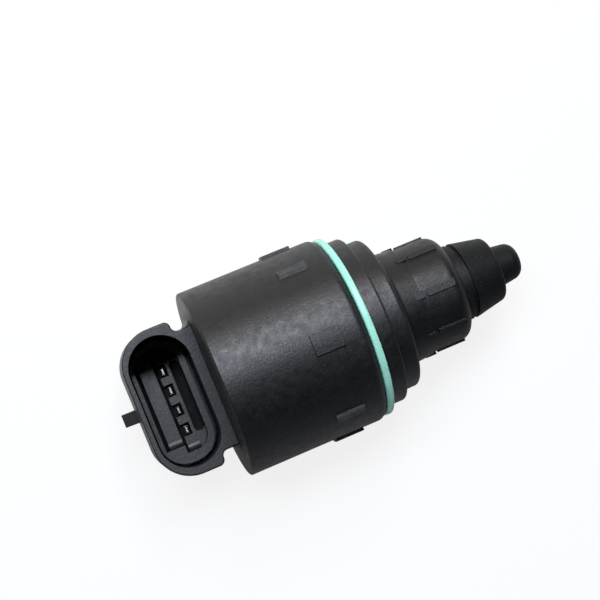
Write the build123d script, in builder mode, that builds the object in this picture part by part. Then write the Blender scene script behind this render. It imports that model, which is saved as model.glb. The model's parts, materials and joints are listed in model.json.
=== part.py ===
from build123d import *
import os

# Idle air control valve: a small linear stepper motor that slides a conical pintle.
# All sizes are millimetres. The valve's axis is X with the pintle at +X, and its connector opens to +Z.
# The origin is on the axis, at the step where the pilot ring leaves the spigot.

# Fits, as gaps on the radius or on one side
press_gap = 0.02
running_gap = 0.05
skirt_gap = 0.3

# Motor housing
body_d = 37.0
body_length = 28.0
body_wall = 2.5
body_front_round = 1.6
body_rear_round = 0.4
rear_wall = 2.5
rear_chamber_d = 29.0
rear_chamber_length = 2.0
bush_boss_d = 13.0

# Locating lugs around the housing
lug_start = 17.5
lug_length = 5.7
lug_width = 4.0
lug_height = 0.55
ridge_angle = 48.0
ridge_depth = 2.4
ridge_draft = 24.0

# Connector shroud behind the housing
shroud_length = 15.1
shroud_width = 28.9
shroud_rim = 3.0
shroud_depth = 15.0
shroud_rear_round = 7.2
shroud_front_round = 1.2
shroud_edge_round = 0.3
shroud_bottom_round = 0.9
neck_length = 3.5
neck_width = 24.1
neck_round = 1.1
neck_flare = 1.5
socket_length = 12.1
socket_width = 25.8
socket_rear_wall = 1.05
collar_depth = 5.3
collar_height = 4.2
collar_length = 10.85
collar_width = 24.3
collar_round = 5.0
collar_front_gap = 0.8
inner_length = 8.7
inner_width = 20.4
inner_round = 3.0
inner_front_wall = 1.3
inner_depth = 8.2
ledge_width = 17.2
well_end_round = 1.3
slot_depth = 2.8
rear_slot = 0.9
front_slot = 1.95
front_slot_round = 0.9
middle_slot = 0.6
latch_width = 2.5
latch_reach = 2.9
latch_ramp = 3.4
latch_land = 1.5
latch_drop = 2.6

# Terminals
pin_pitch = 4.0
pin_from_body = 7.55
pin_width = 1.5
pin_thickness = 0.8
pin_tip_depth = 7.0
pin_tip_taper = 0.25
pin_run_depth = 12.2
pin_tail = 1.3
pin_pocket_length = 1.8
pin_pocket_width = 2.4
pin_pocket_depth = 2.2

# Front cover: spigot and pilot rings
spigot_d = 33.4
spigot_length = 4.8
spigot_edge = 0.5
pilot_d = 30.2
pilot_length = 3.6
pilot_round = 0.8
cover_skirt = 2.1
cover_web = 2.0
cover_web_bore = 14.0

# Mounting seal, a square-section ring on the spigot
seal_section = 1.4
seal_round = 0.4

# Nose cap
cap_plug_d = 24.8
cap_plug_length = 7.6
flange_d = 26.8
flange_length = 0.8
root_d = 22.7
root_front_d = 21.8
root_length = 4.9
root_round = 1.3
barrel_d = 21.2
nose_length = 13.8
nose_round = 2.5
mouth_land = 0.15
chamber_depth = 8.4
guide_wall = 3.5
relief_d = 13.2
rib_count = 8
rib_turn = 4.0
rib_width = 1.4
rib_height = 0.35
rib_length = 5.85
rib_round = 0.3
nub_height = 0.25
nub_length = 2.15
nub_ahead = 0.85
nub_round = 0.55
nub_gap = 0.4

# Pintle
pintle_gap = 2.45
pintle_rear_d = 15.3
pintle_front_d = 12.7
pintle_length = 6.55
pintle_round = 1.0
pintle_groove = 1.0
pintle_groove_depth = 0.7
pintle_skirt_in = 0.5
pintle_mouth_d = 12.6
pintle_wall = 1.1
pintle_face = 1.7
pintle_boss_d = 8.4
tip_root_d = 8.2
tip_end_d = 6.8
tip_length = 5.3
tip_round = 2.2
tip_root_round = 0.4

# Lead screw
screw_d = 5.0
screw_across_flats = 4.0
screw_in_tip = 1.2
screw_behind_origin = 24.0
screw_flat_behind_origin = 3.0

# Return spring
spring_wire_d = 0.7
spring_d = 10.0
spring_turns = 5
spring_seat_thickness = 0.5
spring_seat_d = 15.0
spring_seat_bore = 6.4

# Stator
section_length = 9.6
plate_thickness = 0.9
cup_wall = 0.85
cup_gap = 0.05
coil_depth = 4.7
pole_thickness = 0.8
pole_count = 6
pole_root_width = 4.0
pole_tip_width = 2.2
pole_clear = 0.5
phase_turn = 15.0
bobbin_wall = 0.75
bobbin_flange = 0.8
bobbin_gap = 0.3
winding_margin = 0.7

# Rotor
air_gap = 0.4
magnet_wall = 3.4
magnet_length = 16.5
magnet_from_stator = 1.8
rear_journal_d = 7.0
rear_journal_end_gap = 0.3
hub_neck_d = 10.0
bush_d = 10.0
bush_length = 3.0
washer_d = 9.8
washer_thickness = 0.35

# Front ball bearing
bearing_d = 16.0
bearing_bore_d = 8.0
bearing_width = 5.0
bearing_ring = 1.1
ball_d = 2.4
ball_count = 7
race_gap = 0.04
cage_width = 3.4
cage_thickness = 0.8

# Stations along the axis
body_front_x = -spigot_length
body_rear_x = body_front_x - body_length
chamber_floor_x = body_rear_x + rear_wall
stator_rear_x = chamber_floor_x + rear_chamber_length
stator_mid_x = stator_rear_x + section_length
stator_front_x = stator_mid_x + section_length
pilot_front_x = pilot_length
flange_rear_x = pilot_front_x - flange_length
root_front_x = pilot_front_x + root_length
nose_front_x = pilot_front_x + nose_length
chamber_x = nose_front_x - chamber_depth
guide_x = chamber_x - guide_wall
bearing_rear_x = pilot_front_x - cap_plug_length
bearing_front_x = bearing_rear_x + bearing_width
bearing_mid_x = bearing_rear_x + bearing_width / 2
cone_rear_x = nose_front_x + pintle_gap
pintle_rear_x = nose_front_x - pintle_skirt_in
pintle_front_x = cone_rear_x + pintle_length
pintle_seat_x = pintle_front_x - pintle_face
tip_front_x = pintle_front_x + tip_length
spring_rear_x = chamber_x + spring_seat_thickness
magnet_rear_x = stator_rear_x + magnet_from_stator
magnet_front_x = magnet_rear_x + magnet_length
bush_front_x = chamber_floor_x + bush_length
washer_front_x = bush_front_x + washer_thickness

# Radii that several pieces share
body_r = body_d / 2
bore_r = body_r - body_wall
cup_r = bore_r - cup_gap
bobbin_r = cup_r - cup_wall - bobbin_gap
pole_outer_r = bobbin_r - coil_depth
pole_r = pole_outer_r - pole_thickness
magnet_r = pole_r - air_gap
magnet_bore_r = magnet_r - magnet_wall
screw_r = screw_d / 2
ball_circle_r = (bearing_d + bearing_bore_d) / 4
chamber_r = pintle_rear_d / 2 + skirt_gap

# Heights of the connector, from its rim down
socket_floor_z = shroud_rim - collar_depth - collar_height
collar_top_z = shroud_rim - collar_depth
inner_floor_z = shroud_rim - inner_depth
shroud_bottom_z = shroud_rim - shroud_depth
pin_tip_z = shroud_rim - pin_tip_depth
pin_run_z = shroud_rim - pin_run_depth
pin_pocket_z = inner_floor_z - pin_pocket_depth

# Places of the connector along the axis
shroud_rear_x = body_rear_x - shroud_length
neck_rear_x = body_rear_x - neck_length
socket_mid_x = shroud_rear_x + socket_rear_wall + socket_length / 2
socket_front_x = socket_mid_x + socket_length / 2
collar_mid_x = socket_front_x - collar_front_gap - collar_length / 2
inner_front_x = collar_mid_x + collar_length / 2 - inner_front_wall
inner_rear_x = inner_front_x - inner_length
pin_x = body_rear_x - pin_from_body
pin_tail_x = chamber_floor_x + pin_tail
middle_slot_x = pin_x - (pin_pocket_length + middle_slot) / 2
pin_ys = [(i - 1.5) * pin_pitch for i in range(4)]

os.makedirs("parts", exist_ok=True)


# Motor housing: body, rear wall, lugs and connector shroud in one moulding
with BuildPart() as motor_housing:
    # Shroud and the narrower neck that joins it to the rear wall
    with BuildSketch(Plane.XY.offset(shroud_bottom_z)) as shroud_plan:
        with Locations(((shroud_rear_x + neck_rear_x) / 2, 0)):
            Rectangle(neck_rear_x - shroud_rear_x, shroud_width)
        fillet(shroud_plan.vertices().group_by(Axis.X)[0], shroud_rear_round)
        fillet(shroud_plan.vertices().group_by(Axis.X)[-1], shroud_front_round)
        with Locations(((socket_mid_x + chamber_floor_x - rear_wall / 2) / 2, 0)):
            Rectangle(chamber_floor_x - rear_wall / 2 - socket_mid_x, neck_width)
        corners = shroud_plan.vertices().filter_by_position(Axis.X, neck_rear_x - 0.01, neck_rear_x + 0.01)
        fillet(corners.filter_by_position(Axis.Y, -neck_width / 2 - 0.01, neck_width / 2 + 0.01), neck_round)
    extrude(amount=shroud_depth)
    fillet(motor_housing.faces().sort_by(Axis.Z)[-1].edges(), shroud_edge_round)
    fillet(motor_housing.faces().sort_by(Axis.Z)[0].edges(), shroud_bottom_round)

    # Body, turned about the axis
    with BuildSketch(Plane.XY) as body_profile:
        with Locations((body_rear_x, 0)):
            Rectangle(body_length, body_r, align=(Align.MIN, Align.MIN))
        fillet(body_profile.vertices().sort_by_distance((body_front_x, body_r))[0], body_front_round)
        fillet(body_profile.vertices().sort_by_distance((body_rear_x, body_r))[0], body_rear_round)
    revolve(axis=Axis.X)

    # Hollow flare on each side of the neck, where it meets the body
    with BuildSketch(Plane.XY.offset(shroud_rim - shroud_edge_round)):
        with Locations((body_rear_x, neck_width / 2)):
            Rectangle(2 * neck_flare, 2 * neck_flare)
        with Locations((body_rear_x - neck_flare, neck_width / 2 + neck_flare)):
            Circle(neck_flare, mode=Mode.SUBTRACT)
        mirror(about=Plane.XZ)
    extrude(amount=shroud_edge_round + shroud_bottom_round - shroud_depth)

    # Four wide lugs at the quarters, curved with the body
    with BuildSketch(Plane.YZ.offset(body_rear_x + lug_start)):
        Rectangle(lug_width, body_d + 4 * lug_height)
        Rectangle(body_d + 4 * lug_height, lug_width)
        Circle(body_r + lug_height, mode=Mode.INTERSECT)
    extrude(amount=lug_length)

    # Four ridges between them, with flats that face the way the mould opens
    with BuildSketch(Plane.YZ.offset(body_rear_x + lug_start)):
        with BuildLine():
            crest = PolarLine((0, 0), body_r + lug_height, 90 - ridge_angle, mode=Mode.PRIVATE) @ 1
            flank = PolarLine(crest, ridge_depth, ridge_draft - 90)
            inner = Polyline(flank @ 1, ((flank @ 1).X - ridge_depth, (flank @ 1).Y),
                             (crest.X - ridge_depth, crest.Y), crest)
        make_face()
        mirror(about=Plane.XZ)
        mirror(about=Plane.YZ)
    extrude(amount=lug_length)

    # Socket, the collar that stands in it, and the well inside the collar
    with BuildSketch(Plane.XY.offset(shroud_rim)):
        with Locations((socket_mid_x, 0)):
            SlotOverall(socket_width, socket_length, rotation=90)
    extrude(amount=socket_floor_z - shroud_rim, mode=Mode.SUBTRACT)
    with BuildSketch(Plane.XY.offset(socket_floor_z)):
        with Locations((collar_mid_x, 0)):
            RectangleRounded(collar_length, collar_width, collar_round)
    extrude(amount=collar_height)
    with BuildSketch(Plane.XY.offset(collar_top_z)) as well_plan:
        with Locations(((middle_slot_x + inner_front_x) / 2, 0)):
            Rectangle(inner_front_x - middle_slot_x, inner_width)
        fillet(well_plan.vertices().group_by(Axis.X)[-1], inner_round)
        with Locations(((inner_rear_x + middle_slot_x) / 2, 0)):
            Rectangle(middle_slot_x - inner_rear_x, ledge_width)
    extrude(amount=inner_floor_z - collar_top_z, mode=Mode.SUBTRACT)
    # Rounded ramps at both ends of the well
    ledge_ramp = (inner_rear_x, middle_slot_x, ledge_width)
    pin_ramp = (middle_slot_x, inner_front_x - front_slot, inner_width)
    for start_x, end_x, width in (ledge_ramp, pin_ramp):
        with BuildSketch(Plane.YZ.offset(start_x)):
            with Locations((width / 2, inner_floor_z)):
                Rectangle(well_end_round, well_end_round, align=(Align.MAX, Align.MIN))
            with Locations((width / 2 - well_end_round, inner_floor_z + well_end_round)):
                Circle(well_end_round, mode=Mode.SUBTRACT)
            mirror(about=Plane.YZ)
        extrude(amount=end_x - start_x)

    # Slots along the well's floor, and a pocket for each pin
    with BuildSketch(Plane.XY.offset(collar_top_z)):
        with Locations((inner_front_x - front_slot / 2, 0)):
            RectangleRounded(front_slot, inner_width - 2 * inner_round, front_slot_round)
        with Locations((inner_rear_x + rear_slot / 2, 0)):
            Rectangle(rear_slot, ledge_width)
        with Locations((middle_slot_x, 0)):
            Rectangle(middle_slot, inner_width)
    extrude(amount=inner_floor_z - slot_depth - collar_top_z, mode=Mode.SUBTRACT)
    with BuildSketch(Plane.XY.offset(inner_floor_z)):
        with Locations(*[(pin_x, y) for y in pin_ys]):
            Rectangle(pin_pocket_length, pin_pocket_width)
    extrude(amount=-pin_pocket_depth, mode=Mode.SUBTRACT)

    # Latch ramp on the rear of the shroud
    with BuildSketch(Plane.XZ):
        with BuildLine():
            latch_top_z = shroud_rim - latch_drop
            latch_land_z = latch_top_z - latch_ramp
            Polyline((shroud_rear_x + socket_rear_wall / 2, latch_top_z),
                     (shroud_rear_x, latch_top_z),
                     (shroud_rear_x - latch_reach, latch_land_z),
                     (shroud_rear_x - latch_reach, latch_land_z - latch_land),
                     (shroud_rear_x + socket_rear_wall / 2, latch_land_z - latch_land),
                     close=True)
        make_face()
    extrude(amount=latch_width / 2, both=True)

    # Motor bore, rear chamber and the boss for the rear bush
    with BuildSketch(Plane.YZ.offset(body_front_x)):
        Circle(bore_r)
    extrude(amount=stator_rear_x - body_front_x, mode=Mode.SUBTRACT)
    with BuildSketch(Plane.YZ.offset(stator_rear_x)):
        Circle(rear_chamber_d / 2)
    extrude(amount=-rear_chamber_length, mode=Mode.SUBTRACT)
    with BuildSketch(Plane.YZ.offset(chamber_floor_x)):
        Circle(bush_boss_d / 2)
        Circle(bush_d / 2 + press_gap, mode=Mode.SUBTRACT)
    extrude(amount=rear_chamber_length)

    # Slots that the terminals are moulded into
    with BuildSketch(Plane.XZ):
        with BuildLine():
            Polyline((pin_x - pin_thickness / 2 - press_gap, pin_pocket_z),
                     (pin_x - pin_thickness / 2 - press_gap, pin_run_z - pin_thickness / 2 - press_gap),
                     (chamber_floor_x, pin_run_z - pin_thickness / 2 - press_gap),
                     (chamber_floor_x, pin_run_z + pin_thickness / 2 + press_gap),
                     (pin_x + pin_thickness / 2 + press_gap, pin_run_z + pin_thickness / 2 + press_gap),
                     (pin_x + pin_thickness / 2 + press_gap, pin_pocket_z),
                     close=True)
        make_face()
    slot = extrude(amount=pin_width / 2 + press_gap, both=True, mode=Mode.PRIVATE)
    with Locations(*[(0, y, 0) for y in pin_ys]):
        add(slot, mode=Mode.SUBTRACT)
motor_housing.part.label = "motor_housing"
export_step(motor_housing.part, "parts/motor_housing.step")


# Front cover: spigot and pilot rings, with a skirt that pushes the stator home
with BuildPart() as front_cover:
    with BuildSketch(Plane.XY) as cover_profile:
        with BuildLine():
            Polyline((stator_front_x, bore_r - press_gap - cover_skirt),
                     (stator_front_x, bore_r - press_gap),
                     (body_front_x, bore_r - press_gap),
                     (body_front_x, spigot_d / 2),
                     (0, spigot_d / 2),
                     (0, pilot_d / 2),
                     (pilot_front_x, pilot_d / 2),
                     (pilot_front_x, flange_d / 2 + press_gap),
                     (flange_rear_x, flange_d / 2 + press_gap),
                     (flange_rear_x, cap_plug_d / 2 + press_gap),
                     (bearing_rear_x, cap_plug_d / 2 + press_gap),
                     (bearing_rear_x, cover_web_bore / 2),
                     (bearing_rear_x - cover_web, cover_web_bore / 2),
                     (bearing_rear_x - cover_web, bore_r - press_gap - cover_skirt),
                     close=True)
        make_face()
        fillet(cover_profile.vertices().sort_by_distance((pilot_front_x, pilot_d / 2))[0], pilot_round)
        fillet(cover_profile.vertices().sort_by_distance((0, spigot_d / 2))[0], spigot_edge)
    revolve(axis=Axis.X)
front_cover.part.label = "front_cover"
export_step(front_cover.part, "parts/front_cover.step")


# Mounting seal on the spigot, against the front of the body
with BuildPart() as mounting_seal:
    with BuildSketch(Plane.XY):
        with Locations((body_front_x + seal_section / 2, spigot_d / 2 + press_gap + seal_section / 2)):
            RectangleRounded(seal_section, seal_section, seal_round)
    revolve(axis=Axis.X)
mounting_seal.part.label = "mounting_seal"
export_step(mounting_seal.part, "parts/mounting_seal.step")


# Nose cap: bearing plug, flange sunk in the pilot ring, tapered root and ribbed barrel
with BuildPart() as nose_cap:
    with BuildSketch(Plane.XY) as nose_profile:
        with BuildLine():
            Polyline((bearing_rear_x, bearing_d / 2 + press_gap),
                     (bearing_rear_x, cap_plug_d / 2),
                     (flange_rear_x, cap_plug_d / 2),
                     (flange_rear_x, flange_d / 2),
                     (pilot_front_x, flange_d / 2),
                     (pilot_front_x, root_d / 2),
                     (root_front_x, root_front_d / 2),
                     (root_front_x, barrel_d / 2),
                     (nose_front_x, barrel_d / 2),
                     (nose_front_x, chamber_r),
                     (chamber_x, chamber_r),
                     (chamber_x, 0),
                     (guide_x, 0),
                     (guide_x, relief_d / 2),
                     (bearing_front_x, relief_d / 2),
                     (bearing_front_x, bearing_d / 2 + press_gap),
                     close=True)
        make_face()
        fillet(nose_profile.vertices().sort_by_distance((nose_front_x, barrel_d / 2))[0],
               min(nose_round, barrel_d / 2 - chamber_r - mouth_land))
        fillet(nose_profile.vertices().sort_by_distance((pilot_front_x, root_d / 2))[0], root_round)
    revolve(axis=Axis.X)

    # Low rails along the barrel, each with a rounded nub behind it on the root
    with BuildSketch(Plane.XY.offset(chamber_r + mouth_land)):
        with Locations((root_front_x + nub_ahead + nub_gap + rib_length / 2, 0)):
            RectangleRounded(rib_length, rib_width, rib_round)
    rail = extrude(amount=barrel_d / 2 + rib_height - chamber_r - mouth_land, mode=Mode.PRIVATE)
    with BuildSketch(Plane.XY.offset(chamber_r + mouth_land)):
        with Locations((root_front_x + nub_ahead - nub_length / 2, 0)):
            RectangleRounded(nub_length, rib_width, nub_round)
    nub = extrude(amount=root_front_d / 2 + nub_height - chamber_r - mouth_land, mode=Mode.PRIVATE)
    for i in range(rib_count):
        add(rail.rotate(Axis.X, i * 360 / rib_count - rib_turn))
        add(nub.rotate(Axis.X, i * 360 / rib_count - rib_turn))

    # Guide hole with two flats, which keeps the screw from turning
    with BuildSketch(Plane.YZ.offset(guide_x)):
        Circle(screw_r + running_gap)
        Rectangle(screw_d, screw_across_flats + 2 * running_gap, mode=Mode.INTERSECT)
    extrude(amount=guide_wall, mode=Mode.SUBTRACT)
nose_cap.part.label = "nose_cap"
export_step(nose_cap.part, "parts/nose_cap.step")


# Rear stator cup: sheet-steel can with claw poles bent forward
with BuildPart() as rear_stator_cup:
    with BuildSketch(Plane.XY.offset(pole_r / 2)):
        with BuildLine():
            Polyline((stator_rear_x, pole_root_width / 2),
                     (stator_mid_x - plate_thickness - pole_clear, pole_tip_width / 2),
                     (stator_mid_x - plate_thickness - pole_clear, -pole_tip_width / 2),
                     (stator_rear_x, -pole_root_width / 2),
                     close=True)
        make_face()
    claw = extrude(amount=pole_r, mode=Mode.PRIVATE)
    for i in range(pole_count):
        add(claw.rotate(Axis.X, i * 360 / pole_count))
    with BuildSketch(Plane.YZ.offset(stator_rear_x)):
        Circle(pole_outer_r)
        Circle(pole_r, mode=Mode.SUBTRACT)
    extrude(amount=section_length, mode=Mode.INTERSECT)
    with BuildSketch(Plane.YZ.offset(stator_rear_x)):
        Circle(cup_r)
        Circle(pole_r, mode=Mode.SUBTRACT)
    extrude(amount=plate_thickness)
    with BuildSketch(Plane.YZ.offset(stator_rear_x)):
        Circle(cup_r)
        Circle(cup_r - cup_wall, mode=Mode.SUBTRACT)
    extrude(amount=section_length - plate_thickness)
rear_stator_cup.part.label = "rear_stator_cup"
export_step(rear_stator_cup.part, "parts/rear_stator_cup.step")


# Rear pole plate: closes the can, with its claws bent back between the others
with BuildPart() as rear_pole_plate:
    with BuildSketch(Plane.XY.offset(pole_r / 2)):
        with BuildLine():
            Polyline((stator_mid_x, pole_root_width / 2),
                     (stator_rear_x + plate_thickness + pole_clear, pole_tip_width / 2),
                     (stator_rear_x + plate_thickness + pole_clear, -pole_tip_width / 2),
                     (stator_mid_x, -pole_root_width / 2),
                     close=True)
        make_face()
    claw = extrude(amount=pole_r, mode=Mode.PRIVATE)
    for i in range(pole_count):
        add(claw.rotate(Axis.X, (i + 0.5) * 360 / pole_count))
    with BuildSketch(Plane.YZ.offset(stator_rear_x)):
        Circle(pole_outer_r)
        Circle(pole_r, mode=Mode.SUBTRACT)
    extrude(amount=section_length, mode=Mode.INTERSECT)
    with BuildSketch(Plane.YZ.offset(stator_mid_x - plate_thickness)):
        Circle(cup_r)
        Circle(pole_r, mode=Mode.SUBTRACT)
    extrude(amount=plate_thickness)
rear_pole_plate.part.label = "rear_pole_plate"
export_step(rear_pole_plate.part, "parts/rear_pole_plate.step")


# Rear bobbin and its winding
with BuildPart() as rear_bobbin:
    with BuildSketch(Plane.XY):
        with BuildLine():
            Polyline((stator_rear_x + plate_thickness, pole_outer_r + press_gap),
                     (stator_rear_x + plate_thickness, bobbin_r),
                     (stator_rear_x + plate_thickness + bobbin_flange, bobbin_r),
                     (stator_rear_x + plate_thickness + bobbin_flange, pole_outer_r + bobbin_wall),
                     (stator_mid_x - plate_thickness - bobbin_flange, pole_outer_r + bobbin_wall),
                     (stator_mid_x - plate_thickness - bobbin_flange, bobbin_r),
                     (stator_mid_x - plate_thickness, bobbin_r),
                     (stator_mid_x - plate_thickness, pole_outer_r + press_gap),
                     close=True)
        make_face()
    revolve(axis=Axis.X)
rear_bobbin.part.label = "rear_bobbin"
export_step(rear_bobbin.part, "parts/rear_bobbin.step")

with BuildPart() as rear_winding:
    with BuildSketch(Plane.YZ.offset(stator_rear_x + plate_thickness + bobbin_flange)):
        Circle(bobbin_r - winding_margin)
        Circle(pole_outer_r + bobbin_wall + press_gap, mode=Mode.SUBTRACT)
    extrude(amount=section_length - 2 * plate_thickness - 2 * bobbin_flange)
rear_winding.part.label = "rear_winding"
export_step(rear_winding.part, "parts/rear_winding.step")


# Front half of the stator: the rear half mirrored, with its poles turned by half a step
with BuildPart() as front_pole_plate:
    mirrored_plate = mirror(rear_pole_plate.part, about=Plane.YZ.offset(stator_mid_x), mode=Mode.PRIVATE)
    add(mirrored_plate.rotate(Axis.X, phase_turn))
front_pole_plate.part.label = "front_pole_plate"
export_step(front_pole_plate.part, "parts/front_pole_plate.step")

with BuildPart() as front_stator_cup:
    mirrored_cup = mirror(rear_stator_cup.part, about=Plane.YZ.offset(stator_mid_x), mode=Mode.PRIVATE)
    add(mirrored_cup.rotate(Axis.X, phase_turn))
front_stator_cup.part.label = "front_stator_cup"
export_step(front_stator_cup.part, "parts/front_stator_cup.step")

with BuildPart() as front_bobbin:
    mirror(rear_bobbin.part, about=Plane.YZ.offset(stator_mid_x))
front_bobbin.part.label = "front_bobbin"
export_step(front_bobbin.part, "parts/front_bobbin.step")

with BuildPart() as front_winding:
    mirror(rear_winding.part, about=Plane.YZ.offset(stator_mid_x))
front_winding.part.label = "front_winding"
export_step(front_winding.part, "parts/front_winding.step")


# Rotor hub: the turning nut, with a journal at each end
with BuildPart() as rotor_hub:
    with BuildSketch(Plane.XY):
        with BuildLine():
            Polyline((chamber_floor_x + rear_journal_end_gap, screw_r + running_gap),
                     (chamber_floor_x + rear_journal_end_gap, rear_journal_d / 2),
                     (washer_front_x + running_gap, rear_journal_d / 2),
                     (washer_front_x + running_gap, magnet_bore_r - press_gap),
                     (magnet_front_x, magnet_bore_r - press_gap),
                     (magnet_front_x, hub_neck_d / 2),
                     (bearing_rear_x, hub_neck_d / 2),
                     (bearing_rear_x, bearing_bore_d / 2 - press_gap),
                     (bearing_front_x, bearing_bore_d / 2 - press_gap),
                     (bearing_front_x, screw_r + running_gap),
                     close=True)
        make_face()
    revolve(axis=Axis.X)
rotor_hub.part.label = "rotor_hub"
export_step(rotor_hub.part, "parts/rotor_hub.step")

with BuildPart() as rotor_magnet:
    with BuildSketch(Plane.YZ.offset(magnet_rear_x)):
        Circle(magnet_r)
        Circle(magnet_bore_r, mode=Mode.SUBTRACT)
    extrude(amount=magnet_length)
rotor_magnet.part.label = "rotor_magnet"
export_step(rotor_magnet.part, "parts/rotor_magnet.step")


# Rear bush in the housing's boss, and the washer that keeps the rotor off it
with BuildPart() as rear_bush:
    with BuildSketch(Plane.YZ.offset(chamber_floor_x)):
        Circle(bush_d / 2)
        Circle(rear_journal_d / 2 + running_gap, mode=Mode.SUBTRACT)
    extrude(amount=bush_length)
rear_bush.part.label = "rear_bush"
export_step(rear_bush.part, "parts/rear_bush.step")

with BuildPart() as thrust_washer:
    with BuildSketch(Plane.YZ.offset(bush_front_x)):
        Circle(washer_d / 2)
        Circle(rear_journal_d / 2 + running_gap, mode=Mode.SUBTRACT)
    extrude(amount=washer_thickness)
thrust_washer.part.label = "thrust_washer"
export_step(thrust_washer.part, "parts/thrust_washer.step")


# Ball bearing in the nose cap's plug
with BuildPart() as bearing_outer_ring:
    with BuildSketch(Plane.XY):
        with Locations((bearing_mid_x, bearing_d / 2 - bearing_ring / 2)):
            Rectangle(bearing_width, bearing_ring)
        with Locations((bearing_mid_x, ball_circle_r)):
            Circle(ball_d / 2 + race_gap, mode=Mode.SUBTRACT)
    revolve(axis=Axis.X)
bearing_outer_ring.part.label = "bearing_outer_ring"
export_step(bearing_outer_ring.part, "parts/bearing_outer_ring.step")

with BuildPart() as bearing_inner_ring:
    with BuildSketch(Plane.XY):
        with Locations((bearing_mid_x, bearing_bore_d / 2 + bearing_ring / 2)):
            Rectangle(bearing_width, bearing_ring)
        with Locations((bearing_mid_x, ball_circle_r)):
            Circle(ball_d / 2 + race_gap, mode=Mode.SUBTRACT)
    revolve(axis=Axis.X)
bearing_inner_ring.part.label = "bearing_inner_ring"
export_step(bearing_inner_ring.part, "parts/bearing_inner_ring.step")

with BuildPart(Plane.YZ.offset(bearing_mid_x)) as bearing_balls:
    with PolarLocations(ball_circle_r, ball_count):
        Sphere(ball_d / 2)
bearing_balls.part.label = "bearing_balls"
export_step(bearing_balls.part, "parts/bearing_balls.step")

with BuildPart(Plane.YZ.offset(bearing_mid_x)) as bearing_cage:
    Cylinder(ball_circle_r + cage_thickness / 2, cage_width)
    Cylinder(ball_circle_r - cage_thickness / 2, cage_width, mode=Mode.SUBTRACT)
    with PolarLocations(ball_circle_r, ball_count):
        Cylinder(ball_d / 2 + race_gap, 2 * cage_thickness, rotation=(0, 90, 0), mode=Mode.SUBTRACT)
bearing_cage.part.label = "bearing_cage"
export_step(bearing_cage.part, "parts/bearing_cage.step")


# Lead screw: round where the nut drives it, with two flats where the nose guides it
with BuildPart() as lead_screw:
    with BuildSketch(Plane.YZ.offset(-screw_behind_origin)):
        Circle(screw_r)
    extrude(amount=screw_behind_origin + pintle_front_x + screw_in_tip)
    with BuildSketch(Plane.YZ.offset(-screw_flat_behind_origin)):
        Rectangle(2 * screw_d, 2 * screw_d)
        Rectangle(2 * screw_d, screw_across_flats, mode=Mode.SUBTRACT)
    extrude(amount=screw_flat_behind_origin + pintle_rear_x, mode=Mode.SUBTRACT)
lead_screw.part.label = "lead_screw"
export_step(lead_screw.part, "parts/lead_screw.step")


# Pintle: a hollow cone with a blunt tip and a grooved skirt behind it, fixed on the end of the screw
with BuildPart() as pintle:
    with BuildSketch(Plane.XY) as pintle_profile:
        with BuildLine():
            taper = (pintle_rear_d - pintle_front_d) / 2 / pintle_length
            seat_r = pintle_rear_d / 2 - taper * (pintle_seat_x - cone_rear_x) - pintle_wall
            Polyline((pintle_rear_x, pintle_rear_d / 2),
                     (cone_rear_x - pintle_groove, pintle_rear_d / 2),
                     (cone_rear_x - pintle_groove, pintle_rear_d / 2 - pintle_groove_depth),
                     (cone_rear_x, pintle_rear_d / 2 - pintle_groove_depth),
                     (cone_rear_x, pintle_rear_d / 2),
                     (pintle_front_x, pintle_front_d / 2),
                     (pintle_front_x, tip_root_d / 2),
                     (tip_front_x, tip_end_d / 2),
                     (tip_front_x, 0),
                     (pintle_front_x + screw_in_tip, 0),
                     (pintle_front_x + screw_in_tip, screw_r + press_gap),
                     (pintle_rear_x, screw_r + press_gap),
                     (pintle_rear_x, pintle_boss_d / 2),
                     (pintle_seat_x, pintle_boss_d / 2),
                     (pintle_seat_x, seat_r),
                     (pintle_rear_x, pintle_mouth_d / 2),
                     close=True)
        make_face()
        fillet(pintle_profile.vertices().sort_by_distance((tip_front_x, tip_end_d / 2))[0], tip_round)
        shoulder = pintle_profile.vertices().sort_by_distance((pintle_front_x, pintle_front_d / 2))[0]
        fillet(shoulder, pintle_round)
        tip_root = pintle_profile.vertices().sort_by_distance((pintle_front_x, tip_root_d / 2))[0]
        fillet(tip_root, tip_root_round)
    revolve(axis=Axis.X)
pintle.part.label = "pintle"
export_step(pintle.part, "parts/pintle.step")


# Spring seat on the guide wall, and the spring that pushes the pintle out against the thread
with BuildPart() as spring_seat:
    with BuildSketch(Plane.YZ.offset(chamber_x)):
        Circle(spring_seat_d / 2)
        Circle(spring_seat_bore / 2, mode=Mode.SUBTRACT)
    extrude(amount=spring_seat_thickness)
spring_seat.part.label = "spring_seat"
export_step(spring_seat.part, "parts/spring_seat.step")

with BuildPart() as pintle_spring:
    with BuildLine() as coil_line:
        spring_height = pintle_seat_x - spring_rear_x - spring_wire_d
        coil = Helix(spring_height / spring_turns, spring_height, spring_d / 2,
                     center=(spring_rear_x + spring_wire_d / 2, 0, 0), direction=(1, 0, 0))
    with BuildSketch(Plane(origin=coil @ 0, z_dir=coil % 0)):
        Circle(spring_wire_d / 2)
    sweep(path=coil_line.line, is_frenet=True)
pintle_spring.part.label = "pintle_spring"
export_step(pintle_spring.part, "parts/pintle_spring.step")


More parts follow.
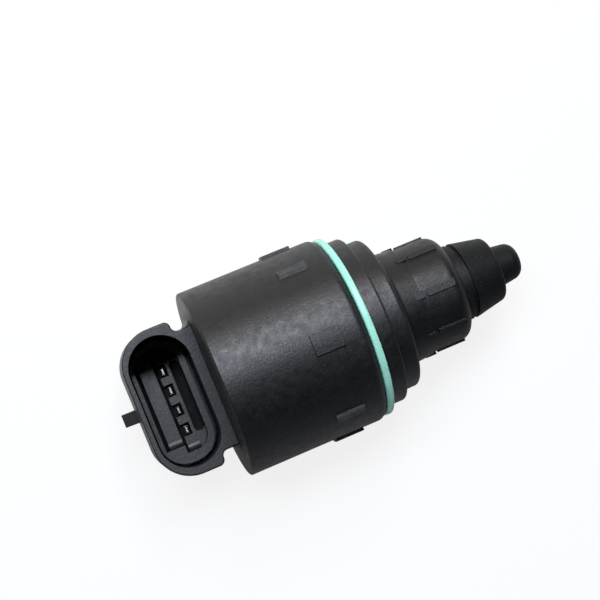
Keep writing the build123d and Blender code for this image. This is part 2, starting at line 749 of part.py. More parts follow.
# Terminals: right-angle blades from the socket to the rear chamber
with BuildPart() as terminal_blade:
    with BuildSketch(Plane.XZ):
        with BuildLine():
            Polyline((pin_x - pin_thickness / 2, pin_tip_z),
                     (pin_x - pin_thickness / 2, pin_run_z - pin_thickness / 2),
                     (pin_tail_x, pin_run_z - pin_thickness / 2),
                     (pin_tail_x, pin_run_z + pin_thickness / 2),
                     (pin_x + pin_thickness / 2, pin_run_z + pin_thickness / 2),
                     (pin_x + pin_thickness / 2, pin_tip_z),
                     close=True)
        make_face()
    extrude(amount=pin_width / 2, both=True)
    chamfer(terminal_blade.faces().sort_by(Axis.Z)[-1].edges(), pin_tip_taper)

with BuildPart() as terminal_1:
    with Locations((0, pin_ys[0], 0)):
        add(terminal_blade.part)
terminal_1.part.label = "terminal_1"
export_step(terminal_1.part, "parts/terminal_1.step")

with BuildPart() as terminal_2:
    with Locations((0, pin_ys[1], 0)):
        add(terminal_blade.part)
terminal_2.part.label = "terminal_2"
export_step(terminal_2.part, "parts/terminal_2.step")

with BuildPart() as terminal_3:
    with Locations((0, pin_ys[2], 0)):
        add(terminal_blade.part)
terminal_3.part.label = "terminal_3"
export_step(terminal_3.part, "parts/terminal_3.step")

with BuildPart() as terminal_4:
    with Locations((0, pin_ys[3], 0)):
        add(terminal_blade.part)
terminal_4.part.label = "terminal_4"
export_step(terminal_4.part, "parts/terminal_4.step")
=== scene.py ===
# %% [markdown]
# # An idle air control valve in a studio
# The valve is a small stepper motor that pushes a cone in and out of an air hole. Its solids come
# packed, in metres, in a frame that has the valve's axis along X and the connector opening along +Z.
# They could be modelled again here, but a machine part is best left as its maker drew it. So this
# lesson keeps the solids, gives each one the finish of its real material, and makes by rule only
# the pieces whose form is a rule: the screw's thread and the spring.

# %% Load the frame
import json
import math

import bpy
from mathutils import Matrix, Vector


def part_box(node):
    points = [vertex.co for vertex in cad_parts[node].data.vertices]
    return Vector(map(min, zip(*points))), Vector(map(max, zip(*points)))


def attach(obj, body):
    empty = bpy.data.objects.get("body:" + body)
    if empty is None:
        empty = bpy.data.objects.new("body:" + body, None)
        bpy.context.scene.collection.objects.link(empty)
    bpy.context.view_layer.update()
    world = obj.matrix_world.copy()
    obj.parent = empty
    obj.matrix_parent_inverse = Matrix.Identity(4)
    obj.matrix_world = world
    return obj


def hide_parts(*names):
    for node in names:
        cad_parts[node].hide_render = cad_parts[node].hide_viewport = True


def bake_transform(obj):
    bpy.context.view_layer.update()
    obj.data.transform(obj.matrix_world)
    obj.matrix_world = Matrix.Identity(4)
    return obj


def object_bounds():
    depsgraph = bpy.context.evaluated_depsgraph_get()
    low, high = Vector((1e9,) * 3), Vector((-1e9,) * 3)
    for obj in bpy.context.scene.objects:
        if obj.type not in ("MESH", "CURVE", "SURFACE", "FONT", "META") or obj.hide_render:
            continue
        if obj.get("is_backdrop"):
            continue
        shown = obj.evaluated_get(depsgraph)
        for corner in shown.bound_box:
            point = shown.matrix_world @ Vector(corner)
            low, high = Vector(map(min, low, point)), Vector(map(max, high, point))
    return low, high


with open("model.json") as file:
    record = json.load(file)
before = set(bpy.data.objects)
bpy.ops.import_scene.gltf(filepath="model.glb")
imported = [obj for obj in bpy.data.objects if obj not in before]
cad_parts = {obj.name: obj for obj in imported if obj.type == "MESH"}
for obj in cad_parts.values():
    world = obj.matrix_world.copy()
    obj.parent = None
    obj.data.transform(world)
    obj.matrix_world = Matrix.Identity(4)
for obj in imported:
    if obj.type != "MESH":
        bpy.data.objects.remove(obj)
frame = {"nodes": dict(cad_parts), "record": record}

MM = 0.001
cad_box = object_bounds()
nodes = frame["nodes"]

# %% [markdown]
# Every finish below is a tree of nodes. Building one takes many calls that differ only in the kind
# of node, its settings and what feeds it, so one small function does that for shaders and for
# geometry alike. The kinds that come up again and again have a shorter function each. Colours are
# written as sRGB hex values, as a paint chart gives them, and one function turns them into the
# linear values that light adds up in.

# %% Helpers for colours and nodes
MIX_A, MIX_B, MIX_OUT = 6, 7, 2     # the colour sockets of a Mix node


def colour(hex_text):
    """Linear red, green, blue and alpha of an sRGB hex value."""
    shares = [int(hex_text[i:i + 2], 16) / 255 for i in (0, 2, 4)]
    return [s / 12.92 if s <= 0.04045 else ((s + 0.055) / 1.055) ** 2.4 for s in shares] + [1.0]


def add(tree, kind, inputs=None, **settings):
    """Adds one node: settings are its properties, inputs its values or the sockets that feed it."""
    made = tree.nodes.new(kind)
    for key, value in settings.items():
        setattr(made, key, value)
    for key, value in (inputs or {}).items():
        if isinstance(value, bpy.types.NodeSocket):
            tree.links.new(value, made.inputs[key])
        else:
            made.inputs[key].default_value = value
    return made


def maths(tree, kind, a, b=0.0, c=0.0):
    """The result of one Math node."""
    return add(tree, "ShaderNodeMath", {0: a, 1: b, 2: c}, operation=kind).outputs["Value"]


def ramp(tree, value, over, to, **settings):
    """A number that runs between the two in to while the value runs between the two in over."""
    return add(tree, "ShaderNodeMapRange",
               {"Value": value, "From Min": over[0], "From Max": over[1],
                "To Min": to[0], "To Max": to[1]}, **settings).outputs["Result"]


def mix(tree, share, first, second):
    """A colour between two others: the first at share 0, the second at share 1."""
    return add(tree, "ShaderNodeMix", {"Factor": share, MIX_A: first, MIX_B: second},
               data_type="RGBA").outputs[MIX_OUT]


# %% [markdown]
# A finish starts as an empty material and ends in one Principled shader. Its patterns follow Object
# coordinates, which stay with a piece when it moves. The sizes in a pattern are written in
# millimetres, because a grain or a tool line has a real width, and a texture's scale says little.

# %% Helpers for finishes
def per(size_mm):
    """The texture scale whose features are about this many millimetres wide."""
    return 1.0 / (size_mm * MM)


def noise(tree, where, size_mm, detail, roughness=0.5):
    """A cloudy pattern with features of about this size."""
    return add(tree, "ShaderNodeTexNoise",
               {"Vector": where, "Scale": per(size_mm), "Detail": detail,
                "Roughness": roughness}).outputs["Fac"]


def cells(tree, where, size_mm):
    """A pattern of cells of about this size: the distance from the middle of each."""
    return add(tree, "ShaderNodeTexVoronoi",
               {"Vector": where, "Scale": per(size_mm)}).outputs["Distance"]


def bump(tree, height, strength, depth_mm, base=None):
    """The normal of a skin that this height roughens, on top of a base normal where one is given."""
    inputs = {"Height": height, "Strength": strength, "Distance": depth_mm * MM}
    if base is not None:
        inputs["Normal"] = base
    return add(tree, "ShaderNodeBump", inputs).outputs["Normal"]


def new_finish(name):
    """An empty material, its tree and the Object coordinates that its patterns follow."""
    material = bpy.data.materials.new(name)
    material.use_nodes = True
    material.node_tree.nodes.clear()
    tree = material.node_tree
    return material, tree, add(tree, "ShaderNodeTexCoord").outputs["Object"]


def close(tree, inputs):
    """Ends a finish: one Principled shader with these inputs, and the output."""
    shader = add(tree, "ShaderNodeBsdfPrincipled", inputs)
    add(tree, "ShaderNodeOutputMaterial", {"Surface": shader.outputs["BSDF"]})


def dress(material, *names):
    """Gives a finish to CAD nodes."""
    for name in names:
        nodes[name].data.materials.clear()
        nodes[name].data.materials.append(material)
    print(material.name, "on", len(names), "nodes")


# %% [markdown]
# The housing, the front cover, the nose and the pintle are injection-moulded nylon filled with short
# glass fibres. Black pigment makes it nearly black, the fibres leave a dull, slightly uneven skin, and
# corners rub to a paler, smoother edge. A flat black would look like a hole in the picture, because
# only its gloss shows the form of a black part. So the gloss carries the detail: a fine grain as
# bump, patches of more and less gloss, and rubbed edges, which are found by comparing the surface
# normal with the normal of a rounded copy. The connector's slots are shallower here than on the real
# part, so inside a box that holds their floors the skin is matt and carries a painted shade, near
# black, which makes them read as deep. The pintle is the darkest piece in the picture, as if soot lay
# on it, so it reflects least.

# %% Black glass-filled nylon, moulded
def inside_box(tree, where, middle_mm, half_mm):
    """One inside the box with this middle and these half sides, and nought outside it."""
    local = add(tree, "ShaderNodeMapping",
                {"Vector": where, "Location": Vector(middle_mm) * MM, "Scale": Vector(half_mm) * MM},
                vector_type="TEXTURE")
    away = add(tree, "ShaderNodeVectorMath", {0: local.outputs["Vector"]}, operation="ABSOLUTE")
    side = add(tree, "ShaderNodeSeparateXYZ", {"Vector": away.outputs["Vector"]}).outputs
    farthest = maths(tree, "MAXIMUM", maths(tree, "MAXIMUM", side["X"], side["Y"]), side["Z"])
    return maths(tree, "LESS_THAN", farthest, 1.0)


def moulded_nylon(name, dark, light, rubbed, rough, grain_mm, ior, painted_shade_box=None):
    """Black moulded nylon: satin skin, fine grain, patchy gloss, pale flecks, rubbed edges, painted
    shade in a box.
    """
    material, tree, where = new_finish(name)
    flow = noise(tree, where, 6, detail=4, roughness=0.6)
    skin = mix(tree, flow, colour(dark), colour(light))
    # Fibre ends are finer than a pixel, so they are drawn about a fifth of a millimetre wide to show.
    fleck = ramp(tree, cells(tree, where, 0.9), over=(0.16, 0.05), to=(0.0, 0.10))
    flecked = mix(tree, fleck, skin, colour("8c8d8f"))
    rounded = add(tree, "ShaderNodeBevel", {"Radius": 0.12 * MM}, samples=6).outputs["Normal"]
    facing = add(tree, "ShaderNodeNewGeometry").outputs["Normal"]
    same = add(tree, "ShaderNodeVectorMath", {0: rounded, 1: facing}, operation="DOT_PRODUCT")
    edge = ramp(tree, same.outputs["Value"], over=(0.99, 0.86), to=(0.0, 0.55))
    tint = mix(tree, edge, flecked, colour(rubbed))
    patch = noise(tree, where, 1.6, detail=5, roughness=0.7)
    gloss = ramp(tree, patch, over=(0.3, 0.7), to=(rough - 0.10, rough + 0.10))
    # Painted shade: inside the box the colour goes near black, standing in for the shade of deeper
    # slots, and the skin turns matt.
    if painted_shade_box:
        deep = inside_box(tree, where, *painted_shade_box)
        tint = mix(tree, deep, tint, colour("060607"))
        gloss = maths(tree, "MULTIPLY_ADD", deep, 0.5, gloss)
    grain = noise(tree, where, grain_mm, detail=3, roughness=0.65)
    close(tree, {"Base Color": tint, "Roughness": gloss, "IOR": ior,
                 "Normal": bump(tree, grain, strength=0.6, depth_mm=0.08, base=rounded)})
    return material


# The slot floors get their painted shade inside this box.
slot_floor_painted_shade = ((-41, 0, -8.6), (5, 11, 1.6))    # the box's middle and half sides, in millimetres
housing_nylon = moulded_nylon("black_glass_filled_nylon_moulded", "0d0e0f", "151617", "343537",
                              rough=0.46, grain_mm=0.5, ior=1.53, painted_shade_box=slot_floor_painted_shade)
nose_nylon = moulded_nylon("black_nylon_nose_moulded", "0c0d0e", "131415", "303133",
                           rough=0.46, grain_mm=0.4, ior=1.47)
pintle_nylon = moulded_nylon("black_acetal_pintle_moulded", "0c0d0e", "121314", "2a2b2d",
                             rough=0.54, grain_mm=0.3, ior=1.33)
dress(housing_nylon, "motor_housing", "front_cover")
dress(nose_nylon, "nose_cap")
dress(pintle_nylon, "pintle")

# %% [markdown]
# The sealing ring is moulded green silicone rubber. It is smooth, a little see-through, and light
# that enters one side of it comes out paler at the other. A glass shader could do that, but rubber
# scatters what enters it, so subsurface scattering with a path of about a millimetre is closer. A
# faint cloudiness in the colour keeps the ring from looking like enamel.

# %% Green silicone rubber, moulded
def silicone(name, pale, deep):
    """Moulded silicone: smooth, cloudy and scattering."""
    material, tree, where = new_finish(name)
    cloud = noise(tree, where, 3, detail=3)
    bloom = ramp(tree, cloud, over=(0.3, 0.7), to=(0.24, 0.36))
    close(tree, {"Base Color": mix(tree, cloud, colour(deep), colour(pale)), "Roughness": bloom,
                 "IOR": 1.41, "Subsurface Weight": 0.45, "Subsurface Scale": 1.0 * MM,
                 "Subsurface Radius": (0.5, 1.0, 0.8)})
    return material


dress(silicone("green_silicone_rubber_moulded", "aae8d4", "9bdcc6"), "mounting_seal")

# %% [markdown]
# The metal parts are stamped, rolled, turned or ground, and each of these leaves its own lines. They
# run along the strip on a stamping and round the axis on a ring. Anisotropic shading would give such
# lines their streaked gloss, but it needs a tangent map. Stretched noise does as well on small parts:
# the noise is squeezed across the lines and drawn out along them, and moves both the roughness and
# the bump.

# %% Metals, each with the lines that its making left
def worked_metal(name, dark, light, rough, line_mm, stretch):
    """A metal whose tool lines are line_mm wide and drawn out by the factors in stretch."""
    material, tree, where = new_finish(name)
    lay = add(tree, "ShaderNodeMapping", {"Vector": where, "Scale": stretch}).outputs["Vector"]
    lines = noise(tree, lay, line_mm, detail=4)
    gloss = ramp(tree, lines, over=(0.3, 0.7), to=(rough - 0.06, rough + 0.08))
    close(tree, {"Base Color": mix(tree, lines, colour(dark), colour(light)), "Metallic": 1.0,
                 "Roughness": gloss, "Normal": bump(tree, lines, strength=0.3, depth_mm=0.01)})
    return material


dress(worked_metal("tinned_brass_stamped", "b9b7ae", "dcdad2",
                   rough=0.26, line_mm=0.25, stretch=(1, 1, 0.1)),
      "terminal_1", "terminal_2", "terminal_3", "terminal_4")
dress(worked_metal("zinc_plated_sheet_steel_pressed", "9da1a6", "c3c6c9",
                   rough=0.34, line_mm=0.4, stretch=(0.3, 1, 1)),
      "rear_stator_cup", "rear_pole_plate", "front_pole_plate", "front_stator_cup")
dress(worked_metal("spring_steel_washer_stamped", "9a9da2", "bfc2c6",
                   rough=0.30, line_mm=0.3, stretch=(1, 0.2, 1)),
      "thrust_washer", "spring_seat")
dress(worked_metal("bearing_steel_ground", "c2c4c8", "dfe1e4",
                   rough=0.16, line_mm=0.15, stretch=(4, 1, 1)),
      "bearing_outer_ring", "bearing_inner_ring", "bearing_balls")
dress(worked_metal("cage_brass_turned", "b08a45", "d6b468",
                   rough=0.28, line_mm=0.2, stretch=(4, 1, 1)),
      "bearing_cage")
screw_steel = worked_metal("screw_steel_rolled", "93979c", "bcc0c4",
                           rough=0.27, line_mm=0.2, stretch=(0.3, 1, 1))
wire_steel = worked_metal("spring_wire_drawn", "82868b", "b3b6ba",
                          rough=0.25, line_mm=0.15, stretch=(1, 1, 1))

# %% [markdown]
# Inside, a sintered bush has pores that hold its oil, and the ferrite magnet is pressed from powder.
# Both are matt and pitted. A Voronoi pattern gives pits directly: its distance is lowest at the middle
# of each cell, so a bump on it makes a small hole there.

# %% Sintered bronze and pressed ferrite
def pressed_powder(name, dark, light, rough, metal, pit_mm):
    """Pressed powder: matt, mottled and pitted."""
    material, tree, where = new_finish(name)
    pits = cells(tree, where, pit_mm)
    mottle = noise(tree, where, 1.5, detail=5)
    close(tree, {"Base Color": mix(tree, mottle, colour(dark), colour(light)), "Metallic": metal,
                 "Roughness": rough, "Normal": bump(tree, pits, strength=0.4, depth_mm=0.04)})
    return material


dress(pressed_powder("sintered_bronze_pressed", "8a6236", "b58a52",
                     rough=0.42, metal=1.0, pit_mm=0.25), "rear_bush")
dress(pressed_powder("ferrite_magnet_pressed", "2a2a2c", "3b3b3e",
                     rough=0.55, metal=0.0, pit_mm=0.35), "rotor_magnet")

# %% [markdown]
# The windings are hundreds of turns of enamelled copper wire that lie side by side. Modelled one by
# one they would cost far more faces than the rest of the valve, and the stator cups hide them. A
# Wave texture across the axis draws the turns instead, one band for each wire, as bump and as colour
# with painted shade: darker in the groove where two wires meet, paler on each crest.

# %% Enamelled copper wire, wound
def wound_copper(name, dark, light, wire_mm):
    """Copper wire wound round the X axis, wire_mm thick."""
    material, tree, where = new_finish(name)
    # A Wave texture's band repeats each 2 pi / 20 units, so its scale follows from the wire.
    turns = add(tree, "ShaderNodeTexWave",
                {"Vector": where, "Scale": per(wire_mm) * math.tau / 20, "Distortion": 0.15},
                bands_direction="X", wave_profile="SIN").outputs["Fac"]
    # Painted shade: the colour is darker in the groove where two wires meet and paler on each crest.
    close(tree, {"Base Color": mix(tree, turns, colour(dark), colour(light)), "Metallic": 1.0,
                 "Roughness": 0.28,
                 "Normal": bump(tree, turns, strength=0.8, depth_mm=0.5 * wire_mm)})
    return material


dress(wound_copper("enamelled_copper_wire_wound", "7a3517", "c9793f", wire_mm=0.3),
      "rear_winding", "front_winding")

# %% [markdown]
# The bobbins and the rotor's hub are the same kind of plastic as the housing, but without the black:
# natural nylon, the colour of ivory, and slightly see-through. A weak scatter and a slow change of
# tint are enough for pieces that sit inside.

# %% Natural nylon, moulded
def natural_nylon(name, pale, deep):
    """Undyed moulded nylon: ivory, satin and a little translucent."""
    material, tree, where = new_finish(name)
    flow = noise(tree, where, 5, detail=4)
    close(tree, {"Base Color": mix(tree, flow, colour(deep), colour(pale)), "Roughness": 0.45,
                 "IOR": 1.53, "Subsurface Weight": 0.2, "Subsurface Scale": 1.0 * MM,
                 "Normal": bump(tree, flow, strength=0.2, depth_mm=0.05)})
    return material


dress(natural_nylon("natural_nylon_bobbin_moulded", "efe9d6", "ddd4bb"), "rear_bobbin", "front_bobbin")
dress(natural_nylon("natural_polyester_hub_moulded", "e3dfd0", "cfc9b6"), "rotor_hub")

# %% [markdown]
# Two pieces follow a rule, so Geometry Nodes make them. Each tree gets a named input for every size,
# which means that another thread or another spring needs no new nodes. A tree makes a live result,
# and the rest of the work needs a plain mesh, so one function sets the inputs, lets the tree run
# once, keeps the mesh that it made and takes the modifier off again.

# %% Helpers for pieces that follow a rule
def new_rule(name, sizes):
    """A Geometry Nodes tree with a named input for each size, and those inputs by name."""
    tree = bpy.data.node_groups.new(name, "GeometryNodeTree")
    tree.interface.new_socket("Geometry", in_out="OUTPUT", socket_type="NodeSocketGeometry")
    for label in sizes:
        tree.interface.new_socket(label, in_out="INPUT", socket_type="NodeSocketFloat")
    return tree, add(tree, "NodeGroupInput").outputs


def end_rule(tree, geometry, material):
    """Ends a tree: real geometry with its material."""
    real = add(tree, "GeometryNodeRealizeInstances", {"Geometry": geometry})
    dressed = add(tree, "GeometryNodeSetMaterial",
                  {"Geometry": real.outputs["Geometry"], "Material": material})
    add(tree, "NodeGroupOutput", {"Geometry": dressed.outputs["Geometry"]})


def follow(name, tree, sizes):
    """Runs a tree once with these sizes and keeps what it makes as a plain mesh."""
    piece = bpy.data.objects.new(name, bpy.data.meshes.new(name))
    bpy.context.scene.collection.objects.link(piece)
    rule = piece.modifiers.new("rule", "NODES")
    rule.node_group = tree
    for item in tree.interface.items_tree:
        if item.in_out == "INPUT":
            rule[item.identifier] = float(sizes[item.name])
    bpy.context.view_layer.update()
    graph = bpy.context.evaluated_depsgraph_get()
    mesh = bpy.data.meshes.new_from_object(piece.evaluated_get(graph), depsgraph=graph)
    piece.modifiers.remove(rule)
    piece.data = mesh
    print(name, "has", len(mesh.polygons), "faces")
    return piece


# %% [markdown]
# The spring sits between a washer on the nose's guide wall and the inside of the pintle, and takes
# up the play in the thread. It is drawn wire in an even helix. The Spiral node gives the helix, and a
# small circle swept along it gives the wire. As the pintle slides, the real spring stretches.

# %% Pintle spring
rear, front = (corner.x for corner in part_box("pintle_spring"))
spring_r = max(corner.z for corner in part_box("pintle_spring"))
wire_r = 0.35 * MM
coil, size = new_rule("coil_spring", ["Start", "Length", "Mean radius", "Wire radius", "Turns"])
helix = add(coil, "GeometryNodeCurveSpiral",
            {"Resolution": 56, "Rotations": size["Turns"], "Start Radius": size["Mean radius"],
             "End Radius": size["Mean radius"], "Height": size["Length"]})
wire = add(coil, "GeometryNodeCurvePrimitiveCircle", {"Resolution": 14, "Radius": size["Wire radius"]})
drawn = add(coil, "GeometryNodeCurveToMesh",
            {"Curve": helix.outputs["Curve"], "Profile Curve": wire.outputs["Curve"],
             "Fill Caps": True})
place = add(coil, "ShaderNodeCombineXYZ", {"X": size["Start"]})
laid = add(coil, "GeometryNodeTransform",
           {"Geometry": drawn.outputs["Mesh"], "Translation": place.outputs["Vector"],
            "Rotation": (0, math.pi / 2, 0)})
smooth = add(coil, "GeometryNodeSetShadeSmooth", {"Geometry": laid.outputs["Geometry"]})
end_rule(coil, smooth.outputs["Geometry"], wire_steel)
spring = follow("pintle_spring_coil", coil, {
    "Start": rear + wire_r, "Length": front - rear - 2 * wire_r,
    "Mean radius": spring_r - wire_r, "Wire radius": wire_r, "Turns": 5})
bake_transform(spring)
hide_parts("pintle_spring")

# %% [markdown]
# The lead screw is a rolled thread with two flats. The turning hub drives the thread, and the flats
# slide in the nose so that the screw can't turn. A thread could be swept along a helix and joined to
# a core, but that leaves two meshes in each other. Here a flat grid is wrapped round the axis, and
# its radius is a rule: where along the pitch a point lies says how deep in the thread it is. At both
# ends a chamfer takes the radius down, and the last row of points closes on the axis.

# %% Lead screw: the rule for its radius
points_along, points_round = 413, 49
end_row = 0.01 * MM     # only the last row of points lies this near to an end
screw, size = new_rule("threaded_screw", [
    "Start", "Length", "Radius", "Lead", "Depth", "Thread end", "Flat start", "Flat end",
    "Half flats", "Chamfer"])


def calc(kind, *values):
    """One Math node of the screw's tree, for a rule written as a sum."""
    return maths(screw, kind, *values)


sheet = add(screw, "GeometryNodeMeshGrid",
            {"Size X": size["Length"], "Size Y": 1.0,
             "Vertices X": points_along, "Vertices Y": points_round})
spot = add(screw, "ShaderNodeSeparateXYZ",
           {"Vector": add(screw, "GeometryNodeInputPosition").outputs["Position"]}).outputs
half = calc("MULTIPLY", size["Length"], 0.5)
along = calc("ADD", calc("ADD", spot["X"], half), size["Start"])
turn = calc("MULTIPLY", spot["Y"], -math.tau)
# The share of the pitch runs from 0 to 0.5 and back over one turn, and the ramp makes flat crests of it.
share = calc("PINGPONG", calc("ADD", calc("DIVIDE", along, size["Lead"]), spot["Y"]), 0.5)
groove = ramp(screw, share, over=(0.12, 0.40), to=(0.0, 1.0))
thread_fades = calc("SUBTRACT", size["Thread end"], size["Lead"])
depth = ramp(screw, along, over=(thread_fades, size["Thread end"]), to=(size["Depth"], 0.0))
thread_r = calc("SUBTRACT", size["Radius"], calc("MULTIPLY", groove, depth))
to_end = calc("SUBTRACT", half, calc("ABSOLUTE", spot["X"]))
end_r = calc("SUBTRACT", size["Radius"], size["Chamfer"])
bevelled_r = calc("MINIMUM", thread_r, calc("ADD", end_r, to_end))
shaft_r = calc("MULTIPLY", bevelled_r, calc("GREATER_THAN", to_end, end_row))
print("screw's grid has", points_along, "by", points_round, "points")

# %% [markdown]
# With the radius known, each point of the grid gets its place on the screw. The flats cut off what
# stands above them. The seam and the ends are closed by merging the points that fall together, and
# only sharp edges stay sharp, so the thread's crests show and its turns look round.

# %% Lead screw: wrapped, closed and placed
rear, front = (corner.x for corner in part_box("lead_screw"))
weld = 0.002 * MM
sharp_angle = 0.6
across = calc("MULTIPLY", shaft_r, calc("COSINE", turn))
up = calc("MULTIPLY", shaft_r, calc("SINE", turn))
not_below = calc("MAXIMUM", up, calc("MULTIPLY", size["Half flats"], -1.0))
flattened = calc("MINIMUM", not_below, size["Half flats"])
in_flat = calc("MULTIPLY", calc("GREATER_THAN", along, size["Flat start"]),
               calc("LESS_THAN", along, size["Flat end"]))
height = calc("ADD", up, calc("MULTIPLY", in_flat, calc("SUBTRACT", flattened, up)))
wrapped_spot = add(screw, "ShaderNodeCombineXYZ", {"X": along, "Y": across, "Z": height})
wrapped = add(screw, "GeometryNodeSetPosition",
              {"Geometry": sheet.outputs["Mesh"], "Position": wrapped_spot.outputs["Vector"]})
sealed = add(screw, "GeometryNodeMergeByDistance",
             {"Geometry": wrapped.outputs["Geometry"], "Distance": weld})
crease = add(screw, "FunctionNodeCompare",
             {0: add(screw, "GeometryNodeInputMeshEdgeAngle").outputs["Unsigned Angle"],
              1: sharp_angle}, data_type="FLOAT", operation="GREATER_THAN")
smooth = add(screw, "GeometryNodeSetShadeSmooth", {"Geometry": sealed.outputs["Geometry"]})
creased = add(screw, "GeometryNodeSetShadeSmooth",
              {"Geometry": smooth.outputs["Geometry"], "Selection": crease.outputs["Result"],
               "Shade Smooth": False}, domain="EDGE")
end_rule(screw, creased.outputs["Geometry"], screw_steel)
lead_screw = follow("lead_screw_threaded", screw, {
    "Start": rear, "Length": front - rear, "Radius": 2.5 * MM, "Lead": 1.0 * MM, "Depth": 0.5 * MM,
    "Thread end": 7.0 * MM, "Flat start": -3.0 * MM, "Flat end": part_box("pintle")[0].x,
    "Half flats": 2.0 * MM, "Chamfer": 0.5 * MM})
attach(lead_screw, "pintle_rod")
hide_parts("lead_screw")

# %% [markdown]
# The picture is taken on a white sweep. A floor that is only white and lit would show as pale grey
# with a hard shadow, and more light would burn out the part. So most of what the camera sees of the
# floor shines at exactly white, also in reflections, and the rest is plain white paint that keeps
# a soft shadow under the valve. Seen in the plastic, the paper's glow has a painted shade: its near
# half shines dimmer than its far half, as the light stands on the far side.

# %% Floor
def white_sweep(name, shine):
    """White paper: plain paint that also shines by itself for the eye, by the share in shine."""
    material, tree, where = new_finish(name)
    fibre = noise(tree, where, 2, detail=3)
    tone = mix(tree, fibre, colour("f3f3f2"), colour("f7f7f6"))
    paint = add(tree, "ShaderNodeBsdfDiffuse", {"Color": tone})
    ray = add(tree, "ShaderNodeLightPath").outputs
    side = add(tree, "ShaderNodeSeparateXYZ", {"Vector": where}).outputs["Y"]
    # Painted shade: the glow seen in reflections runs from dim on the near side to full on the far side.
    painted_glow_by_side = ramp(tree, side, over=(-20 * MM, 20 * MM), to=(0.2, 1.0))
    level = maths(tree, "MAXIMUM", ray["Is Camera Ray"], painted_glow_by_side)
    white = add(tree, "ShaderNodeEmission", {"Color": (1, 1, 1, 1), "Strength": level})
    seen = maths(tree, "MAXIMUM", ray["Is Camera Ray"], ray["Is Glossy Ray"])
    seen = maths(tree, "MAXIMUM", seen, ray["Is Transmission Ray"])
    both = add(tree, "ShaderNodeMixShader",
               {0: maths(tree, "MULTIPLY", seen, shine), 1: paint.outputs["BSDF"],
                2: white.outputs["Emission"]})
    add(tree, "ShaderNodeOutputMaterial", {"Surface": both.outputs["Shader"]})
    return material


floor_gap = 0.01 * MM
floor_z = cad_box[0].z - floor_gap
half_side = 2.0     # metres, so that the camera sees no edge of it
corners = [(-half_side, -half_side, floor_z), (half_side, -half_side, floor_z),
           (half_side, half_side, floor_z), (-half_side, half_side, floor_z)]
sweep = bpy.data.meshes.new("studio_floor")
sweep.from_pydata(corners, [], [(0, 1, 2, 3)])
sweep.materials.append(white_sweep("white_paper_sweep", shine=0.85))
floor = bpy.data.objects.new("studio_floor", sweep)
bpy.context.scene.collection.objects.link(floor)
floor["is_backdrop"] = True
print("floor at", round(floor_z / MM, 2), "mm")

# %% [markdown]
# Black plastic shows what it mirrors, so the light is set for its reflections. One long softbox above
# the far side draws the pale band on the round housing and lights the connector's flats, and leaves
# the near side dark. A small lamp further down on that side throws the short shadows beside the lugs.
# A lamp's strength is its power over its area, so a softbox's brightness is written first and its
# power follows.

# %% Lights
valve_middle = Vector((-12, 0, 0)) * MM


def softbox(name, direction, distance, width, depth, brightness, tint):
    """A rectangular lamp that looks at the valve's middle and has this brightness on its face."""
    lamp = bpy.data.lights.new(name, "AREA")
    lamp.shape = "RECTANGLE"
    lamp.size, lamp.size_y = width, depth
    lamp.energy = brightness * math.pi * width * depth
    lamp.color = colour(tint)[:3]
    box = bpy.data.objects.new(name, lamp)
    bpy.context.scene.collection.objects.link(box)
    away = Vector(direction).normalized()
    box.location = valve_middle + away * distance
    box.rotation_euler = away.to_track_quat("Z", "Y").to_euler()
    box.visible_camera = False
    print(name, "gives", round(lamp.energy, 2), "W")


softbox("key_softbox", (-0.08, 0.34, 0.94), distance=0.50, width=0.36, depth=0.15,
        brightness=17.5, tint="eaf1ff")
softbox("hard_key", (0.2, 0.62, 0.76), distance=0.50, width=0.09, depth=0.09,
        brightness=26.0, tint="fff8f0")
softbox("far_fill", (-0.1, 0.97, 0.22), distance=0.60, width=0.70, depth=0.22,
        brightness=0.6, tint="ffeedd")

# %% [markdown]
# The real socket is so deep that its far end lies in the shadow of its own wall. This one is
# shallower, and the light would reach in. A photographer shades such a place with a flag, a scrap of
# black card between the lamp and the part. So does this scene: the card lies across the far end of
# the socket's mouth, follows its round edge, and isn't seen by the camera.

# %% Flag
def black_card(name):
    """Black card: matt, with a faint grain of paper."""
    material, tree, where = new_finish(name)
    fibre = noise(tree, where, 0.5, detail=3)
    close(tree, {"Base Color": mix(tree, fibre, colour("050505"), colour("0b0b0b")),
                 "Roughness": 0.95})
    return material


mouth = next(Vector(mount["pos_m"]) for mount in frame["record"]["mounts"]
             if mount["name"] == "harness_socket")
flag_r = 6.0 * MM
flag_near, flag_far = 8.6 * MM, 12.85 * MM
flag_down = 0.1 * MM
flag_steps = 16
arc_y = flag_far - flag_r
lean = math.asin((flag_near - arc_y) / flag_r)
arc = [lean + (math.pi - 2 * lean) * step / flag_steps for step in range(flag_steps + 1)]
edge_points = [(mouth.x + flag_r * math.cos(angle), arc_y + flag_r * math.sin(angle),
                mouth.z - flag_down) for angle in arc]
card = bpy.data.meshes.new("shading_flag")
card.from_pydata(edge_points, [], [list(range(len(edge_points)))])
card.materials.append(black_card("black_card_matt"))
flag = bpy.data.objects.new("shading_flag", card)
flag.visible_camera = False
bpy.context.scene.collection.objects.link(flag)
flag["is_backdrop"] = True
print("flag over", round((flag_far - flag_near) / MM, 2), "mm of the socket")

# %% [markdown]
# A low white wall on the far side gives the bright rim along the upper outline. A plane that shines
# could stand there, but the world does it with no object: it is white at the far horizon and in front
# of the pintle, and falls to near black overhead and on the near side.

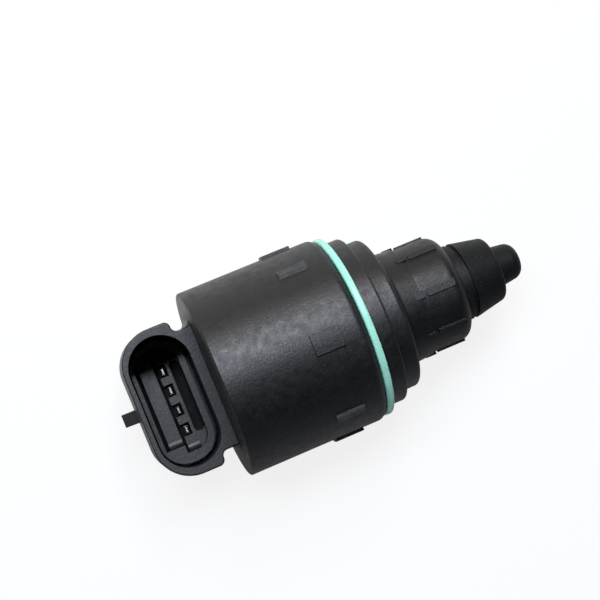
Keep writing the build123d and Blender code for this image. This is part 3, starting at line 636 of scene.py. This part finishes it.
# %% Studio walls
brightest = (0.6, 0.8, 0)
world = bpy.data.worlds.new("studio_walls")
world.use_nodes = True
walls = world.node_tree
walls.nodes.clear()
sight = add(walls, "ShaderNodeTexCoord").outputs["Generated"]
rise = add(walls, "ShaderNodeSeparateXYZ", {"Vector": sight}).outputs["Z"]
fade = ramp(walls, rise, over=(0.0, 0.26), to=(0.8, 0.03), interpolation_type="SMOOTHSTEP")
toward = add(walls, "ShaderNodeVectorMath", {0: sight, 1: brightest}, operation="DOT_PRODUCT")
far = ramp(walls, toward.outputs["Value"], over=(-0.2, 0.7), to=(0.32, 1.0))
sky = add(walls, "ShaderNodeBackground",
          {"Color": (1, 1, 1, 1), "Strength": maths(walls, "MULTIPLY", fade, far)})
add(walls, "ShaderNodeOutputWorld", {"Surface": sky.outputs["Background"]})
bpy.context.scene.world = world
print("walls are brightest toward", brightest)

# %% [markdown]
# The camera stands nearly above the connector and looks along the valve with a long lens. Its place
# was found by fitting the outline of the solids to the picture: the valve's axis leans on the image,
# so the camera is rolled until the axis points up to the right. A target and a roll say that more
# plainly than three angles would.

# %% Camera
eye = Vector((-57.6, 8.11, 281.57)) * MM
target = Vector((-11.19, 8.58, 0.0)) * MM
roll = math.radians(22.72)
back = (eye - target).normalized()
right = Vector((math.sin(roll), math.cos(roll), 0)).cross(back).normalized()
upward = back.cross(right)
lens = bpy.data.cameras.new("studio_camera")
lens.sensor_width = 36.0
lens.lens = 89.47
lens.clip_start, lens.clip_end = 0.01, 20.0
camera = bpy.data.objects.new("studio_camera", lens)
camera.matrix_world = Matrix((right, upward, back)).transposed().to_4x4()
camera.location = eye
bpy.context.scene.collection.objects.link(camera)
bpy.context.scene.camera = camera
bpy.context.scene.view_settings.view_transform = "Standard"
print("camera", round((eye - target).length / MM), "mm away")

# %% [markdown]
# Blender dresses the valve and must not resize it. The box of the solids was kept at the start, and
# how much the box of what shows now grew beyond it is printed at the end.

# %% Sizes, and the end
visual_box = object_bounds()
growth = (visual_box[1] - visual_box[0]) - (cad_box[1] - cad_box[0])
print("box grew by", [round(length / MM, 3) for length in growth], "mm")
